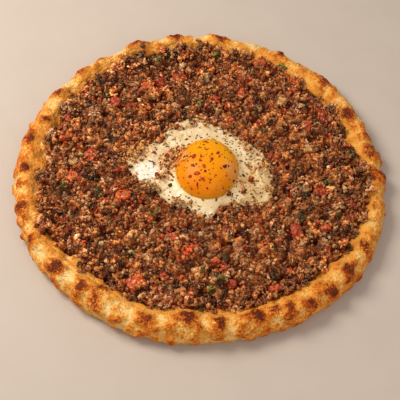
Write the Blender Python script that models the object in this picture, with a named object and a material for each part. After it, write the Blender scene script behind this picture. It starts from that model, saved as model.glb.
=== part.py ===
# Lahmacun: a round flat bread with a puffed, uneven rim, spread with cooked minced meat
# in which diced tomato and onion lie, and a fried egg in the middle.
# Metres, +Z up. The underside rests on Z = 0, with +Y at the far side of the bread.

import math

import bmesh
import bpy
from mathutils import Matrix, Vector, noise

MM = 0.001

# Clearance between pieces that lie against each other, also as measured straight up from
# sloping bread, and round the sides of a dice.
GAP = 0.35 * MM
SLOPE_GAP = 0.4 * MM
DICE_GAP = 0.55 * MM

# Bread: mean radius, the place of its middle, and the waves that make its outline uneven
# (count, height, angle).
BREAD_RADIUS = 124.1 * MM
BREAD_CENTRE = (-0.14 * MM, -0.08 * MM)
OUTLINE_WAVES = (
    (1, 1.2 * MM, -39),
    (2, 1.4 * MM, -9),
    (3, 0.6 * MM, -42),
    (4, 0.4 * MM, -26),
    (5, 0.4 * MM, 34),
)
BREAD_SIDES = 84
FLOOR_HEIGHT = 4.0 * MM

# Width of the bare rim, every 15 degrees, and height of its crest, every 30 degrees,
# both anticlockwise from +X.
RIM_WIDTHS = tuple(w * MM for w in (
    11.0, 17.5, 15.5, 16.0, 13.7, 13.9, 11.7, 11.5, 10.0, 12.5, 12.6, 17.0,
    18.3, 15.0, 13.0, 18.0, 19.0, 17.0, 20.0, 17.5, 18.5, 19.0, 14.5, 13.0))
RIM_HEIGHTS = tuple(h * MM for h in (
    13.0, 14.0, 13.0, 14.0, 13.5, 13.0, 13.5, 14.0, 16.0, 15.5, 15.0, 13.5))

# Section of the rim from its underside round to the topping. Each point has an inset from
# the outer edge (millimetres, then parts of the rim's width) and a height (millimetres,
# then parts of the crest's height).
RIM_SECTION = (
    (7.0, 0.00, 0.0, 0.00),
    (2.4, 0.00, 1.4, 0.00),
    (0.3, 0.00, 4.6, 0.00),
    (0.5, 0.02, 0.0, 0.58),
    (0.6, 0.14, 0.0, 0.83),
    (0.0, 0.34, 0.0, 0.97),
    (0.0, 0.54, 0.0, 1.00),
    (0.0, 0.76, 0.0, 0.92),
    (0.0, 1.00, 0.0, 0.70),
)
PUFFED_POINTS = range(2, 8)

# The dished middle, inward from the end of the rim: extra inset, and height.
DISH_SECTION = (
    (2.5 * MM, 6.8 * MM),
    (6.5 * MM, 4.8 * MM),
    (13.0 * MM, FLOOR_HEIGHT),
)

# Blisters on the rim: angle, inset of the centre, radius and rise (degrees, then mm).
BLISTERS = (
    (349, 6, 8, 1.2), (344, 10, 9, 2.4), (333, 6, 8, 1.8), (324, 11, 9, 2.4),
    (312, 11, 8, 1.8), (301, 9, 9, 2.0), (289, 10, 9, 1.6), (278, 9, 9, 1.8),
    (268, 11, 12, 2.6), (256, 8, 10, 2.4), (246, 8, 9, 1.4), (238, 13, 8, 2.2),
    (232, 8, 9, 3.0), (222, 6, 9, 2.2), (209, 4, 7, 1.8), (197, 5, 8, 1.8),
    (182, 8, 7, 2.2), (170, 7, 9, 1.8), (150, 4, 8, 1.6), (134, 5, 10, 2.2),
    (115, 6, 8, 3.0), (101, 5, 8, 2.8), (85, 4, 10, 1.8), (62, 5, 8, 1.6),
    (45, 5, 9, 1.6), (27, 12, 9, 2.8), (13, 13, 8, 2.2),
)

# Minced meat: mean height of its top, and the large and small lumps of that top. The
# rings of points that shape the top are parts of the way out from the middle to the edge;
# the inner rings have every other point.
MINCE_HEIGHT = 10.2 * MM
MINCE_LUMPS = ((13.0 * MM, 1.8 * MM), (6.0 * MM, 1.0 * MM))
MINCE_TALLEST = 14.0 * MM
MINCE_EDGE_INSET = 0.5 * MM
MINCE_RINGS = (0.975, 0.90, 0.82, 0.74, 0.66)
MINCE_INNER_RINGS = (0.58, 0.50, 0.42)

# Egg white: its outline about its own centre (angle, radius), and heights.
WHITE_CENTRE = (5.0 * MM, 1.0 * MM)
WHITE_OUTLINE = tuple((a, r * MM) for a, r in (
    (-5, 45), (12, 42), (28, 41), (47, 37), (65, 37), (82, 40), (102, 46), (117, 46),
    (131, 44), (143, 38), (155, 46), (172, 52), (188, 48), (203, 37), (217, 37),
    (232, 34), (250, 31), (268, 37), (277, 36), (288, 29), (308, 31), (322, 39),
    (331, 47), (343, 47)))
WHITE_UNDERSIDE = 7.8 * MM
WHITE_RINGS = ((1.0, 1.2 * MM), (0.955, 2.2 * MM), (0.78, 2.8 * MM), (0.55, 3.6 * MM))

# Yolk: a domed half ball, flat where it sits in the white.
YOLK_CENTRE = (5.0 * MM, 1.15 * MM, 12.2 * MM)
YOLK_RADII = (20.7 * MM, 23.3 * MM, 13.5 * MM)
YOLK_UNDERSIDE = 9.2 * MM
YOLK_SIDES = 28
YOLK_BANDS = 8
YOLK_TOP_RING = 82.0

# Diced tomato: place of the middle, length and width in mm, then its turn in degrees.
TOMATOES = (
    (-17, 83, 10, 8, 20), (-30, 79, 8, 8, 70), (-40, 73.5, 10, 8, 10), (-62, 57, 8, 9, 35),
    (-50, 55, 6, 9, 80), (-93, 27, 10, 8, 15), (-93, 41, 8, 5, 30), (-74, 11, 12, 10, 60),
    (-86, -7, 10, 7, 0), (-50, -20, 12, 9, 25), (-62, -26, 5, 6, 50), (-87, -42, 7, 6, 0),
    (-32, -37, 6, 6, 40), (-16, -52, 9, 7, 30), (-37, -85, 13, 11, 40), (-19, -80, 6, 5, 10),
    (9, 63, 8, 6, 0), (18, 60, 7, 7, 35), (27, 71, 6, 9, 15), (4, 94, 6, 6, 45),
    (33, 85, 6, 7, 0), (41, 96, 7, 6, 30), (66, 73, 9, 5, 10), (85, 52.5, 8, 12, 20),
    (73, 43, 9, 9, 60), (38, 42, 6, 5, 25), (63, -11, 5, 8, 10), (82, -11, 10, 8, 20),
    (102, -20, 9, 7, 25), (65, -42, 8, 12, 20), (84, -38, 7, 9, 15), (84, -54, 7, 6, 40),
    (51, -85.5, 8, 5, 15), (13, -67, 7, 6, 30), (24, -83, 6, 7, 10), (59, -72, 7, 6, 0),
)
TOMATO_HEIGHT = 6.2 * MM
TOMATO_MIDDLE = 8.8 * MM

# Diced onion, with the same columns.
ONIONS = (
    (-76, -27, 7, 8, 30), (-68, 66, 6, 5, 40), (1, 84, 8, 7, 0), (11, 54, 5, 6, 60),
    (56, 65, 9, 7, 50), (38, 59, 8, 8, 20), (74, 25, 7, 8, 10), (71.5, -9, 7, 6, 30),
    (2, -75, 8, 6, 15), (-30, -66, 8, 6, 40), (-86, 6, 7, 6, 60),
)
ONION_HEIGHT = 4.6 * MM
ONION_MIDDLE = 9.0 * MM

# Dice: most lean in degrees, unevenness of size, and how far a corner keeps out of a
# sharp cube, by the number of cube faces that meet there.
DICE_TILT = 14.0
DICE_WOBBLE = 0.16
DICE_ROUNDING = (1.0, 1.0, 0.88, 0.76)

# Least thickness of mince left under a dice, with the gap to the dice.
DICE_BED = 1.1 * MM


def clear_scene():
    for thing in list(bpy.data.objects):
        bpy.data.objects.remove(thing, do_unlink=True)


def make_material(name, colour, roughness):
    material = bpy.data.materials.new(name)
    material.use_nodes = True
    shader = material.node_tree.nodes["Principled BSDF"]
    shader.inputs["Base Color"].default_value = (*colour, 1.0)
    shader.inputs["Roughness"].default_value = roughness
    shader.inputs["Metallic"].default_value = 0.0
    return material


def make_object(name, mesh_builder, material, smooth_angle=45.0):
    """Turn a bmesh into a smooth-shaded object with its material."""
    bmesh.ops.recalc_face_normals(mesh_builder, faces=mesh_builder.faces)
    mesh = bpy.data.meshes.new(name)
    mesh_builder.to_mesh(mesh)
    mesh_builder.free()
    mesh.shade_smooth()
    mesh.set_sharp_from_angle(angle=math.radians(smooth_angle))
    thing = bpy.data.objects.new(name, mesh)
    bpy.context.collection.objects.link(thing)
    if material is not None:
        mesh.materials.append(material)
    return thing


def make_cutter(name, mesh_builder):
    cutter = make_object(name, mesh_builder, None)
    cutter.hide_render = True
    cutter.display_type = "WIRE"
    return cutter


def cut(thing, cutter):
    modifier = thing.modifiers.new(cutter.name, "BOOLEAN")
    modifier.operation = "DIFFERENCE"
    modifier.solver = "EXACT"
    modifier.object = cutter


def round_ring(values, angle):
    """Value at an angle (degrees) on a closed ring of evenly spaced values, smoothed."""
    count = len(values)
    place = (angle % 360.0) / 360.0 * count
    index = int(place)
    t = place - index
    before, here, after, beyond = (values[(index + k) % count] for k in (-1, 0, 1, 2))
    slope_here = (after - before) / 2.0
    slope_after = (beyond - here) / 2.0
    bend = 3.0 * (after - here) - 2.0 * slope_here - slope_after
    twist = 2.0 * (here - after) + slope_here + slope_after
    return here + t * (slope_here + t * (bend + t * twist))


def outer_radius(angle):
    radius = BREAD_RADIUS
    for count, height, phase in OUTLINE_WAVES:
        radius += height * math.cos(math.radians(count * (angle - phase)))
    return radius


def polar(angle, radius, z, centre=BREAD_CENTRE):
    a = math.radians(angle)
    return Vector((centre[0] + radius * math.cos(a), centre[1] + radius * math.sin(a), z))


def ring_angles(sides):
    return [360.0 * k / sides for k in range(sides)]


def skin_rings(rings):
    """Closed shell through rings of points: quads between them, a flat face at each end."""
    builder = bmesh.new()
    loops = [[builder.verts.new(point) for point in ring] for ring in rings]
    for lower, upper in zip(loops, loops[1:]):
        for k in range(len(lower)):
            after = (k + 1) % len(lower)
            builder.faces.new((lower[k], lower[after], upper[after], upper[k]))
    builder.faces.new(list(reversed(loops[0])))
    builder.faces.new(loops[-1])
    return builder


def rim_point(angle, section_point):
    inset, width_part, height, height_part = section_point
    width = round_ring(RIM_WIDTHS, angle)
    crest = round_ring(RIM_HEIGHTS, angle)
    radius = outer_radius(angle) - inset * MM - width_part * width
    return polar(angle, radius, height * MM + height_part * crest)


def puff(point, direction):
    """Push a point of the rim outward by the blisters near it."""
    push = 0.0
    for angle, inset, radius, rise in BLISTERS:
        middle = polar(angle, outer_radius(angle) - inset * MM, point.z)
        distance = (middle - point).length / (radius * MM)
        push += rise * MM * math.exp(-2.0 * distance * distance)
    return point + direction * push


def dish_ring(step, lift=0.0):
    """One ring of the dished middle, the same for the bread and the mince that fills it."""
    inset, height = DISH_SECTION[step]
    ring = []
    for angle in ring_angles(BREAD_SIDES):
        rim_end = outer_radius(angle) - round_ring(RIM_WIDTHS, angle)
        ring.append(polar(angle, rim_end - inset, height + lift))
    return ring


def dish_height(x, y):
    """Height of the bread under the topping."""
    angle = math.degrees(math.atan2(y, x))
    rim_end = outer_radius(angle) - round_ring(RIM_WIDTHS, angle)
    inset = rim_end - math.hypot(x, y)
    steps = ((0.0, RIM_SECTION[-1][3] * round_ring(RIM_HEIGHTS, angle)), *DISH_SECTION)
    for (near, high), (far, low) in zip(steps, steps[1:]):
        if inset < far:
            return high + (low - high) * (inset - near) / (far - near)
    return FLOOR_HEIGHT


def make_crust(material):
    angles = ring_angles(BREAD_SIDES)
    rings = [[rim_point(angle, spot) for angle in angles] for spot in RIM_SECTION]
    puffed = [list(ring) for ring in rings]
    for step in PUFFED_POINTS:
        for k, angle in enumerate(angles):
            along = rings[step + 1][k] - rings[step - 1][k]
            sideways = polar(angle + 90.0, 1.0, 0.0)
            outward = sideways.cross(along).normalized()
            puffed[step][k] = puff(rings[step][k], outward)
    dish = [dish_ring(step) for step in range(len(DISH_SECTION))]
    return make_object("crust", skin_rings(puffed + dish), material)


def mince_top(x, y):
    height = MINCE_HEIGHT
    for size, rise in MINCE_LUMPS:
        height += rise * noise.noise(Vector((x, y, 0.0)) / size)
    return height


def make_mince(material):
    """The layer of mince: its underside follows the dish, its top is uneven."""
    angles = ring_angles(BREAD_SIDES)
    rings = [dish_ring(step, SLOPE_GAP) for step in reversed(range(len(DISH_SECTION)))]
    edge = [rim_point(angle, RIM_SECTION[-1]) for angle in angles]
    inward = 1.0 - MINCE_EDGE_INSET / BREAD_RADIUS
    rings.append([Vector((p.x * inward, p.y * inward, p.z + SLOPE_GAP)) for p in edge])
    for part in (*MINCE_RINGS, *MINCE_INNER_RINGS):
        step = 2 if part in MINCE_INNER_RINGS else 1
        ring = []
        for k in range(BREAD_SIDES):
            x, y, _ = edge[k - k % step] * part
            ring.append(Vector((x, y, mince_top(x, y))))
        rings.append(ring)
    builder = skin_rings(rings)
    bmesh.ops.remove_doubles(builder, verts=builder.verts, dist=0.01 * MM)
    return make_object("mince", builder, material)


def white_ring(scale, z, grow=0.0):
    """The egg white's outline, scaled about its centre, with one more point on the smooth
    curve between each pair of neighbours."""
    ring = []
    count = len(WHITE_OUTLINE)
    for index in range(count):
        around = [WHITE_OUTLINE[(index + k) % count] for k in (-1, 0, 1, 2)]
        points = [polar(a, r * scale + grow, z, WHITE_CENTRE) for a, r in around]
        before, here, after, beyond = points
        ring.append(here)
        ring.append((9.0 * (here + after) - before - beyond) / 16.0)
    return ring


def make_white(material):
    rings = [white_ring(0.97, WHITE_UNDERSIDE)]
    for scale, height in WHITE_RINGS:
        rings.append(white_ring(scale, WHITE_UNDERSIDE + height))
    return make_object("egg_white", skin_rings(rings), material)


def white_pocket():
    low = white_ring(1.0, WHITE_UNDERSIDE - GAP, GAP)
    high = white_ring(1.0, MINCE_TALLEST, GAP)
    return make_cutter("white pocket", skin_rings([low, high]))


def yolk_shell(grow=0.0):
    """Ball cut off flat underneath: rings from the flat underside to the top."""
    x, y, z = YOLK_CENTRE
    radii = [radius + grow for radius in YOLK_RADII]
    lowest = math.asin((YOLK_UNDERSIDE - grow - z) / radii[2])
    highest = math.radians(YOLK_TOP_RING)
    rings = []
    for step in range(YOLK_BANDS + 1):
        rise = lowest + (highest - lowest) * step / YOLK_BANDS
        ring = []
        for angle in ring_angles(YOLK_SIDES):
            a = math.radians(angle)
            ring.append(Vector((
                x + radii[0] * math.cos(rise) * math.cos(a),
                y + radii[1] * math.cos(rise) * math.sin(a),
                z + radii[2] * math.sin(rise))))
        rings.append(ring)
    return skin_rings(rings)


class Dice:
    """A cut dice of vegetable: a cube with each side split once, its corners rounded in."""

    def __init__(self, place, height, middle, seed):
        x, y, length, width, turn = place
        self.half = Vector((length * MM, width * MM, height)) / 2.0
        reach = 1.0 + max(self.half.xy) / math.hypot(x * MM, y * MM)
        lowest = dish_height(x * MM * reach, y * MM * reach) + DICE_BED
        self.centre = Vector((x * MM, y * MM, max(middle, lowest + self.half.z)))
        self.seed = Vector((seed * 5.1, seed * 2.3, 0.5))
        tilt = math.radians(DICE_TILT * noise.noise(self.seed))
        self.turned = Matrix.Rotation(math.radians(turn), 4, "Z") @ Matrix.Rotation(tilt, 4, "X")

    def point(self, corner, grow=0.0):
        rounding = DICE_ROUNDING[sum(abs(c) > 0.5 for c in corner)]
        wobble = 1.0 + DICE_WOBBLE * noise.noise(corner * 1.3 + self.seed)
        stretched = Vector(c * h for c, h in zip(corner, self.half)) * rounding * wobble
        outward = Vector(c / h for c, h in zip(corner, self.half)).normalized()
        return self.centre + self.turned @ (stretched + outward * grow)

    def shape(self):
        builder = bmesh.new()
        bmesh.ops.create_cube(builder, size=2.0)
        bmesh.ops.subdivide_edges(
            builder, edges=builder.edges[:], cuts=1, use_grid_fill=True)
        for vert in builder.verts:
            vert.co = self.point(vert.co)
        return builder

    def pocket(self):
        """Straight-sided hole for the dice, open at the top."""
        outline = ((1, 0), (1, 1), (0, 1), (-1, 1), (-1, 0), (-1, -1), (0, -1), (1, -1))
        low = self.centre.z - self.half.z - GAP
        high = max(MINCE_TALLEST, self.centre.z + self.half.z)
        rings = ([], [])
        for x, y in outline:
            column = [self.point(Vector((x, y, level)), DICE_GAP) for level in (-1, 0, 1)]
            widest = max(column, key=lambda point: (point - self.centre).xy.length)
            for ring, z in zip(rings, (low, high)):
                ring.append(Vector((widest.x, widest.y, z)))
        return skin_rings(rings)


def make_dice(name, places, height, middle, material, mince):
    for number, place in enumerate(places, start=1):
        dice = Dice(place, height, middle, number + 0.37 * len(places))
        label = f"{name}_{number:02d}"
        make_object(label, dice.shape(), material, 60.0)
        cut(mince, make_cutter(f"{label} pocket", dice.pocket()))


def main():
    clear_scene()
    crust_look = make_material("baked crust", (0.78, 0.45, 0.16), 0.65)
    mince_look = make_material("cooked mince", (0.22, 0.10, 0.045), 0.5)
    white_look = make_material("egg white", (0.86, 0.80, 0.66), 0.35)
    yolk_look = make_material("egg yolk", (0.93, 0.38, 0.01), 0.2)
    tomato_look = make_material("tomato", (0.60, 0.08, 0.03), 0.3)
    onion_look = make_material("onion", (0.62, 0.48, 0.26), 0.4)

    make_crust(crust_look)
    mince = make_mince(mince_look)
    white = make_white(white_look)
    make_object("egg_yolk", yolk_shell(), yolk_look)
    cut(white, make_cutter("yolk pocket", yolk_shell(GAP)))
    cut(mince, white_pocket())
    make_dice("tomato", TOMATOES, TOMATO_HEIGHT, TOMATO_MIDDLE, tomato_look, mince)
    make_dice("onion", ONIONS, ONION_HEIGHT, ONION_MIDDLE, onion_look, mince)


main()
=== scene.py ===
import math
import random

import bmesh
import bpy
import numpy as np
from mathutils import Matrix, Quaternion, Vector, noise
from mathutils.bvhtree import BVHTree


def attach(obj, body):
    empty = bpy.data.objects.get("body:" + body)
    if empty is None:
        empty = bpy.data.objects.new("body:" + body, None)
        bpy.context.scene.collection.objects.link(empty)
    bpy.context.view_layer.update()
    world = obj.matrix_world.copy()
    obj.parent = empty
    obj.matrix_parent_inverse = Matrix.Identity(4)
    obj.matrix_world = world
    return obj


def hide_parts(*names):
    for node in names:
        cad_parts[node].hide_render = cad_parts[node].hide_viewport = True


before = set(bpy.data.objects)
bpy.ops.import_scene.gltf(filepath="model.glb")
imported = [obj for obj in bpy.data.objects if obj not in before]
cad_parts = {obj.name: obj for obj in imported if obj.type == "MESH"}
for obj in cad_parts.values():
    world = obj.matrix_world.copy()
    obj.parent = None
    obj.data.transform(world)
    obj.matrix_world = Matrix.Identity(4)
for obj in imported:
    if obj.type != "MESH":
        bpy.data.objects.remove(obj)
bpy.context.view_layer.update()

mm = 0.001
chance = random.Random(41)


# Colours are picked as red, green, blue from 0 to 255.
def colour(red, green, blue):
    def linear(value):
        value /= 255
        return value / 12.92 if value <= 0.04045 else ((value + 0.055) / 1.055) ** 2.4
    return (linear(red), linear(green), linear(blue), 1.0)


class Wire:  # an output of a node, which can be used in sums
    def __init__(self, look, socket):
        self.look, self.socket = look, socket

    def __add__(self, other):
        return self.look.sum("ADD", self, other)

    def __sub__(self, other):
        return self.look.sum("SUBTRACT", self, other)

    def __rsub__(self, other):
        return self.look.sum("SUBTRACT", other, self)

    def __mul__(self, other):
        return self.look.sum("MULTIPLY", self, other)

    def __truediv__(self, other):
        return self.look.sum("DIVIDE", self, other)

    def __pow__(self, other):
        return self.look.sum("POWER", self, other)

    __radd__, __rmul__ = __add__, __mul__

    def ramp(self, low, high):  # 0 below low, 1 above high, smooth between
        return self.look.node("MapRange", {"interpolation_type": "SMOOTHSTEP"},
                              {"Value": self, "From Min": low, "From Max": high})

    def colours(self, *stops):
        return self.look.node("ValToRGB", {"stops": stops}, {"Fac": self})

    def size(self):  # without its sign
        return self.look.sum("ABSOLUTE", self, 0.0)


class Look:  # a material, with what its nodes need
    def __init__(self, name, fixed):
        self.material = bpy.data.materials.new(name)
        self.material.use_nodes = True
        self.tree = self.material.node_tree
        self.shader = self.tree.nodes["Principled BSDF"]
        for socket, value in fixed.items():
            self.shader.inputs[socket].default_value = value
        self.place = self.node("TexCoord", output="Object")

    def node(self, kind, settings={}, inputs={}, output=0):
        made = self.tree.nodes.new("ShaderNode" + kind)
        for key, value in settings.items():
            if key == "stops":
                ramp = made.color_ramp.elements
                ramp.remove(ramp[1])
                ramp[0].position, ramp[0].color = value[0]
                for position, shade in value[1:]:
                    ramp.new(position).color = shade
            else:
                setattr(made, key, value)
        for key, value in inputs.items():
            if isinstance(value, Wire):
                self.tree.links.new(value.socket, made.inputs[key])
            else:
                made.inputs[key].default_value = value
        return Wire(self, made.outputs[output])

    def sum(self, operation, first, second):
        return self.node("Math", {"operation": operation}, {0: first, 1: second})

    def attribute(self, name, output="Fac"):
        return self.node("Attribute", {"attribute_name": name}, output=output)

    def grain(self, size, detail=2.0, rough=0.5, place=None):  # noise with features of this size
        return self.node("TexNoise", {}, {"Vector": place or self.place, "Scale": 1 / size,
                                          "Detail": detail, "Roughness": rough})

    def cells(self, size, feature="F1", place=None):
        return self.node("TexVoronoi", {"feature": feature},
                         {"Vector": place or self.place, "Scale": 1 / size}, "Distance")

    def blend(self, amount, first, second, kind="MIX"):
        return self.node("Mix", {"data_type": "RGBA", "blend_type": kind},
                         {0: amount, 6: first, 7: second}, 2)

    def near(self, x, y, reach, ragged=0.35, grain=4.0):  # 1 at a place in mm, 0 past its reach
        flat = self.node("VectorMath", {"operation": "MULTIPLY"},
                         {0: self.place, 1: (1000.0, 1000.0, 0.0)})
        away = self.node("VectorMath", {"operation": "DISTANCE"}, {0: flat, 1: (x, y, 0.0)}, "Value")
        wave = (self.grain(grain * mm, 3.0, 0.6) - 0.5) * (ragged * reach * 3.0)
        return 1 - (away + wave).ramp(reach * 0.35, reach)

    def finish(self, base, roughness=None, height=None, depth=0.3, strength=0.6, **more):
        links = self.tree.links
        links.new(base.socket, self.shader.inputs["Base Color"])
        if roughness:
            links.new(roughness.socket, self.shader.inputs["Roughness"])
        if height:
            bump = self.node("Bump", {}, {"Height": height, "Strength": strength,
                                          "Distance": depth * mm})
            links.new(bump.socket, self.shader.inputs["Normal"])
        for socket, wire in more.items():
            links.new(wire.socket, self.shader.inputs[socket])
        return self.material


def only(piece):  # selects this piece alone
    bpy.ops.object.select_all(action="DESELECT")
    piece.select_set(True)
    bpy.context.view_layer.objects.active = piece


def modify(piece, kind, **settings):
    modifier = piece.modifiers.new(kind, kind)
    for key, value in settings.items():
        setattr(modifier, key, value)
    only(piece)
    bpy.ops.object.modifier_apply(modifier=modifier.name)


def pattern(kind, size, **settings):  # a pattern that pushes a surface about
    made = bpy.data.textures.new(kind.lower(), kind)
    made.noise_scale = size
    for key, value in settings.items():
        setattr(made, key, value)
    return made


def points(piece):  # the places of a piece's vertices, one row each
    spots = np.empty(len(piece.data.vertices) * 3)
    piece.data.vertices.foreach_get("co", spots)
    return spots.reshape(-1, 3)


def normals(piece):
    facing = np.empty(len(piece.data.vertices) * 3)
    piece.data.vertices.foreach_get("normal", facing)
    return facing.reshape(-1, 3)


def weigh(piece, name, weights):
    group = piece.vertex_groups.new(name=name)
    for index, weight in enumerate(weights):
        if weight > 0.001:
            group.add((index,), float(weight), "REPLACE")


def store(piece, name, values):
    piece.data.attributes.new(name, "FLOAT", "POINT").data.foreach_set(
        "value", np.asarray(values, np.float32))


def step(values, low, high):  # 0 below low, 1 above high, smooth between
    part = np.clip((values - low) / (high - low), 0, 1)
    return part * part * (3 - 2 * part)


def fromNode(node, name):  # a copy of a solid, its doubles merged, to start a finer piece from
    piece = bpy.data.objects.new(name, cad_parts[node].data.copy())
    bpy.context.collection.objects.link(piece)
    piece.data.materials.clear()
    only(piece)
    bpy.ops.object.mode_set(mode="EDIT")
    bpy.context.tool_settings.mesh_select_mode = (True, False, False)
    bpy.ops.mesh.reveal()
    bpy.ops.mesh.select_all(action="SELECT")
    bpy.ops.mesh.customdata_custom_splitnormals_clear()
    bpy.ops.mesh.mark_sharp(clear=True)
    bpy.ops.mesh.remove_doubles(threshold=0.00001)
    bpy.ops.mesh.tris_convert_to_quads(face_threshold=math.pi, shape_threshold=math.pi)
    bpy.ops.object.mode_set(mode="OBJECT")
    return piece


def done(piece, material, slot, *nodes):  # a finished piece gets its material and its place
    piece.data.materials.clear()
    piece.data.materials.append(material)
    only(piece)
    bpy.ops.object.shade_smooth()
    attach(piece, "root")
    if nodes:
        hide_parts(*nodes)


# Camera, light and floor.
studio = {
    "elevation": 57.73, "roll": 2.47, "distance": 0.6475, "lens": 86.94,
    "target": (0.00126, -0.01834, 0.005),
    "lamps": (  # place, size, strength, colour
        ((-0.47, 0.15, 0.62), 0.36, 5.5, (1.0, 0.91, 0.78)),
        ((0.40, -0.50, 0.50), 0.60, 1.2, (1.0, 0.91, 0.80)),
    ),
    "sky": (1.0, 0.93, 0.85), "skyStrength": 0.44,
    "floor": (colour(201, 190, 182), colour(192, 180, 171)),
}


def setUpStudio():
    tilt = math.radians(studio["elevation"])
    forward = Vector((0, math.cos(tilt), -math.sin(tilt)))
    bpy.ops.object.camera_add(location=Vector(studio["target"]) - forward * studio["distance"])
    camera = bpy.context.object
    camera.rotation_mode = "ZYX"
    camera.rotation_euler = (math.pi / 2 - tilt, 0, math.radians(studio["roll"]))
    camera.data.lens, camera.data.sensor_width = studio["lens"], 36
    camera.data.clip_start, camera.data.clip_end = 0.01, 20
    bpy.context.scene.camera = camera
    bpy.context.scene.view_settings.view_transform = "Standard"
    for place, size, strength, shade in studio["lamps"]:
        bpy.ops.object.light_add(type="AREA", location=place)
        lamp = bpy.context.object
        lamp.rotation_euler = (-Vector(place)).to_track_quat("-Z", "Y").to_euler()
        lamp.data.size, lamp.data.energy, lamp.data.color = size, strength, shade
    world = bpy.data.worlds.new("soft room")
    bpy.context.scene.world = world
    world.use_nodes = True
    sky = world.node_tree.nodes["Background"].inputs
    sky["Color"].default_value = (*studio["sky"], 1)
    sky["Strength"].default_value = studio["skyStrength"]
    bpy.ops.mesh.primitive_plane_add(size=4, location=(0, 0, -0.0002))
    floor = bpy.context.object
    floor.name = "floor"
    look = Look("stone floor", {"Roughness": 0.7})
    mottle = look.grain(0.03, 5.0, 0.6)
    floor.data.materials.append(look.finish(look.blend(mottle, *studio["floor"])))


setUpStudio()
print("camera, light and floor are set up")


# Crust. Places are in mm over the bread, then come size and rise in mm, or size and darkness.
crust = {
    "levels": 3, "puffing": 1.5,
    "bubbles": (
        (-117, -5, 9, 1.8), (-116, 20, 9, 1.2), (-115, -36, 9, 1.4), (-106, -58, 8, 1.2),
        (-87, -79, 11, 1.8), (-70, -92, 10, 1.6), (-57, -93, 9, 1.4), (-60, -102, 7, 1.2),
        (-28, -113, 11, 1.2), (-3, -111, 13, 1.8), (17, -112, 9, 1.2), (39, -105, 9, 1.6),
        (49, -103, 8, 1.2), (60, -101, 8, 1.2), (86, -87, 8, 1.4), (98, -70, 8, 1.4),
        (108, -55, 9, 1.4), (101, 51, 9, 1.8), (116, 22, 10, 1.2), (88, 82, 10, 1.2),
        (55, 105, 9, 1.2), (12, 117, 8, 1.4), (-22, 117, 9, 1.6), (-50, 111, 8, 1.4),
        (-75, 96, 8, 1.8), (-103, 60, 8, 1.2), (-107, 37, 8, 1.2), (-44, 103, 8, 2.0),
        (-74, -71, 7, 1.6), (-100, -20, 8, 1.0), (115, -10, 8, 1.0), (-93, -68, 9, 1.2),
        (72, -96, 9, 1.2), (-14, -117, 9, 1.0), (30, -117, 9, 1.0), (-45, -112, 9, 1.0),
    ),
    "smallBubbles": 260, "smallSize": (2.5, 7.5), "smallRise": (0.3, 1.1),
    "unevenness": (("VORONOI", 7.0, -2.3), ("CLOUDS", 5.0, 1.4), ("CLOUDS", 2.4, 1.2),
                   ("CLOUDS", 1.1, 0.7)),
    "scorches": (
        (-117, -5, 6, 1.0), (-116, 20, 7, 0.55), (-115, -36, 6, 0.8), (-106, -58, 5, 0.6),
        (-87, -79, 8, 0.9), (-70, -92, 7, 0.55), (-57, -93, 7, 0.5), (-60, -102, 5, 0.5),
        (-28, -113, 7, 0.4), (-3, -111, 10, 0.7), (17, -112, 6, 0.8), (39, -105, 7, 0.8),
        (49, -103, 5, 0.7), (60, -101, 6, 0.6), (86, -87, 6, 0.8), (98, -70, 6, 0.8),
        (108, -55, 6, 0.8), (101, 51, 7, 1.0), (116, 22, 9, 0.6), (88, 82, 9, 0.6),
        (55, 105, 6, 0.5), (12, 117, 6, 0.8), (-22, 117, 7, 0.8), (-50, 111, 6, 0.8),
        (-75, 96, 6, 0.9), (-61, 97, 3, 0.8), (-103, 60, 6, 0.6), (-107, 37, 6, 0.6),
        (-44, 103, 7, 0.35), (-108, 4, 5, 0.4), (118, 2, 8, 0.5), (70, 98, 8, 0.5),
    ),
    "smallScorches": 50, "smallScorchSize": (1.5, 4.5), "smallDarkness": (0.15, 0.5),
    "palePatches": (  # place and reach in mm, and how pale, or how tanned below 0
        (-75, -84, 12, 1.0), (-45, -107, 12, 1.0), (112, -33, 10, 0.9), (108, 26, 8, 0.9),
        (30, 115, 12, 1.0), (-65, 101, 9, 1.0), (-100, 70, 9, 0.9), (-105, 50, 9, 0.7),
        (-108, -22, 7, 0.6), (-95, -70, 9, 0.8), (0, 120, 10, 0.6), (-30, 114, 9, 0.6),
        (70, 100, 9, 0.5), (98, 62, 8, 0.5), (-119, 2, 12, -0.5), (-116, 26, 12, -0.5),
        (-118, -20, 10, -0.4), (-112, -46, 9, -0.4), (-90, 84, 9, -0.5), (-108, 48, 8, -0.5),
        (70, -104, 16, -0.5), (45, -114, 14, -0.4), (95, -82, 14, -0.5), (120, 5, 12, -0.6),
        (118, -20, 10, -0.3), (116, 30, 9, -0.3), (60, 108, 10, -0.2), (-104, 16, 8, 0.6),
        (-112, -8, 7, 0.5), (-80, 88, 9, 0.6),
    ),
}


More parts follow.
